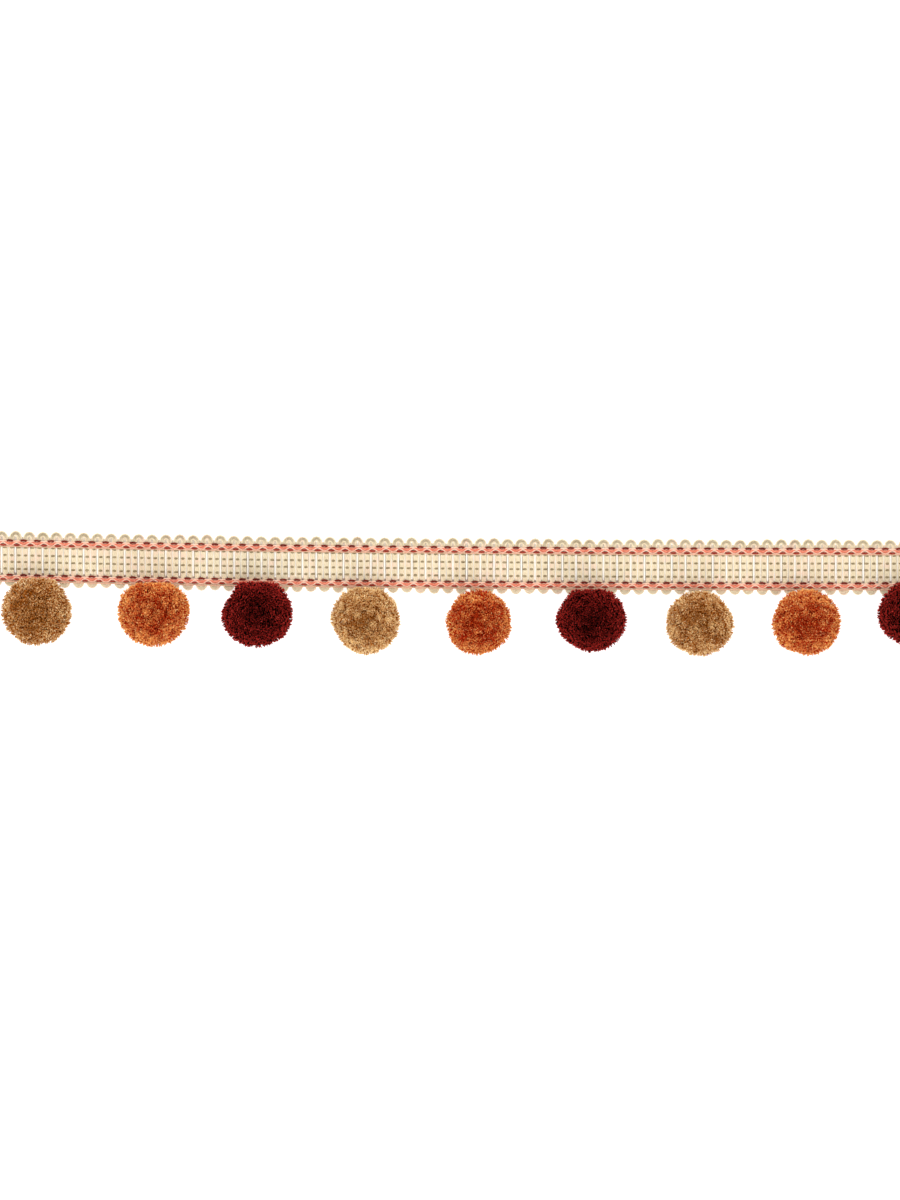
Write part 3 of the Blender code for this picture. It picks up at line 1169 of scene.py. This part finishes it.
def pompom(node, finish, seed):
    """A pompom in the place and size of its solid."""
    low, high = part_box(node)
    half = (high - low) / 2 * PILE_REACH
    half.z = half.x
    centre = (low + high) / 2
    centre.z = low.z + half.z * REST_SHARE
    form = trimmed_ball(node + "_form", centre, half, CUTS[node], seed)
    values = {"Centre": centre, "Dye": DYES[node], "Seed": seed, "Material": finish}
    return grow(node + "_pile", form, PILE, {**PILE_SIZES, **values})


slots = {row["node"]: row["material_slot"] for row in frame["record"]["subparts"]}
pompoms = sorted(node for node in frame["nodes"] if node.startswith("pompom"))
for seed, node in enumerate(pompoms, 1):
    ball = pompom(node, PILES[slots[node]], seed)
    dress(ball, slots[node], node)

# %% [markdown]
# ## The ties
#
# A short thread of two ivory plies runs from the heading's lower edge into the middle of each
# pompom. The pile hides most of it. Its path is a straight line between the ends of the solid
# tie.

# %% Ties
TIE_INSET = 0.35 * MM
TIE_STEPS = 8

ties = sorted(node for node in frame["nodes"] if node.startswith("tie"))
for node in ties:
    low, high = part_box(node)
    middle = (low.x + high.x) / 2
    start = Vector((middle, high.y + TIE_INSET, low.z + TIE_INSET))
    end = Vector((middle, low.y, high.z))
    line_path = [start.lerp(end, step / TIE_STEPS) for step in range(TIE_STEPS + 1)]
    tie = yarn(node + "_thread", line_path, ivory, plies=2, ply=0.21, twist=0.19,
               rate=500.0, sides=6)
    dress(tie, "ivory_yarn", node)

# %% [markdown]
# ## The stage
#
# The trim lies on a plain white floor under broad soft light. The floor glows faintly, so that no
# shadow greys it, as in a product photograph. The camera looks straight down at the trim from
# most of a metre away. A long lens keeps the heading's ends the same size as its middle.

# %% Floor and light
FLOOR_SIDE = 4.0
FLOOR_WHITE = (0.93, 0.93, 0.93, 1.0)
FLOOR_GLOW = 0.6
PAPER_ROUGHNESS = 0.9
WORLD_STRENGTH = 0.95
WHITE = (1.0, 1.0, 1.0, 1.0)
LIGHT_COLUMNS = ("place", "side", "power")
LIGHT_ROWS = {
    "key_light": ((-0.5, 0.9, 1.2), 1.4, 7.4),
    "fill_light": ((0.3, -0.6, 1.3), 1.4, 5.5),
}

bm = bmesh.new()
bmesh.ops.create_grid(bm, x_segments=1, y_segments=1, size=FLOOR_SIDE / 2)
floor = mesh_object("floor", bm)
paper, _, paper_shader = new_finish("white_paper", PAPER_ROUGHNESS, 0.0, WHITE)
paper_shader.inputs["Base Color"].default_value = FLOOR_WHITE
paper_shader.inputs["Emission Color"].default_value = WHITE
paper_shader.inputs["Emission Strength"].default_value = FLOOR_GLOW
floor.data.materials.append(paper)


def soft_light(name, place, side, power):
    """A round lamp of this width and power, which points at the origin."""
    light = bpy.data.lights.new(name, "AREA")
    light.shape = "DISK"
    light.size = side
    light.energy = power
    made = new_object(name, light)
    made.location = place
    made.rotation_euler = (-Vector(place)).to_track_quat("-Z", "Y").to_euler()


for name, row in LIGHT_ROWS.items():
    soft_light(name, **dict(zip(LIGHT_COLUMNS, row)))
world = bpy.data.worlds.new("studio")
world.use_nodes = True
world.node_tree.nodes["Background"].inputs["Color"].default_value = WHITE
world.node_tree.nodes["Background"].inputs["Strength"].default_value = WORLD_STRENGTH
bpy.context.scene.world = world
bpy.context.scene.view_settings.view_transform = "Standard"
print("lights:", list(LIGHT_ROWS))

# %% Camera
FRAME_WIDE = 900
FRAME_TALL = 1200
PICOT_PIXELS = 13.68
MM_PER_PIXEL = PICOT_PITCH / MM / PICOT_PIXELS
MIDDLE_PIXEL = (475.0, 566.1)
LENS = 100.0
SENSOR = 36.0
FOCUS_HEIGHT = 1.6 * MM
half_tall = FRAME_TALL / 2 * MM_PER_PIXEL * MM
distance = LENS / (SENSOR / 2) * half_tall
aim_x = (FRAME_WIDE / 2 - MIDDLE_PIXEL[0]) * MM_PER_PIXEL * MM
aim_y = (MIDDLE_PIXEL[1] - FRAME_TALL / 2) * MM_PER_PIXEL * MM
camera = bpy.data.cameras.new("camera")
camera.lens = LENS
camera.sensor_width = SENSOR
camera_object = new_object("camera", camera)
camera_object.location = (aim_x, aim_y, FOCUS_HEIGHT + distance)
bpy.context.scene.camera = camera_object
print("camera distance in mm:", round(distance / MM))
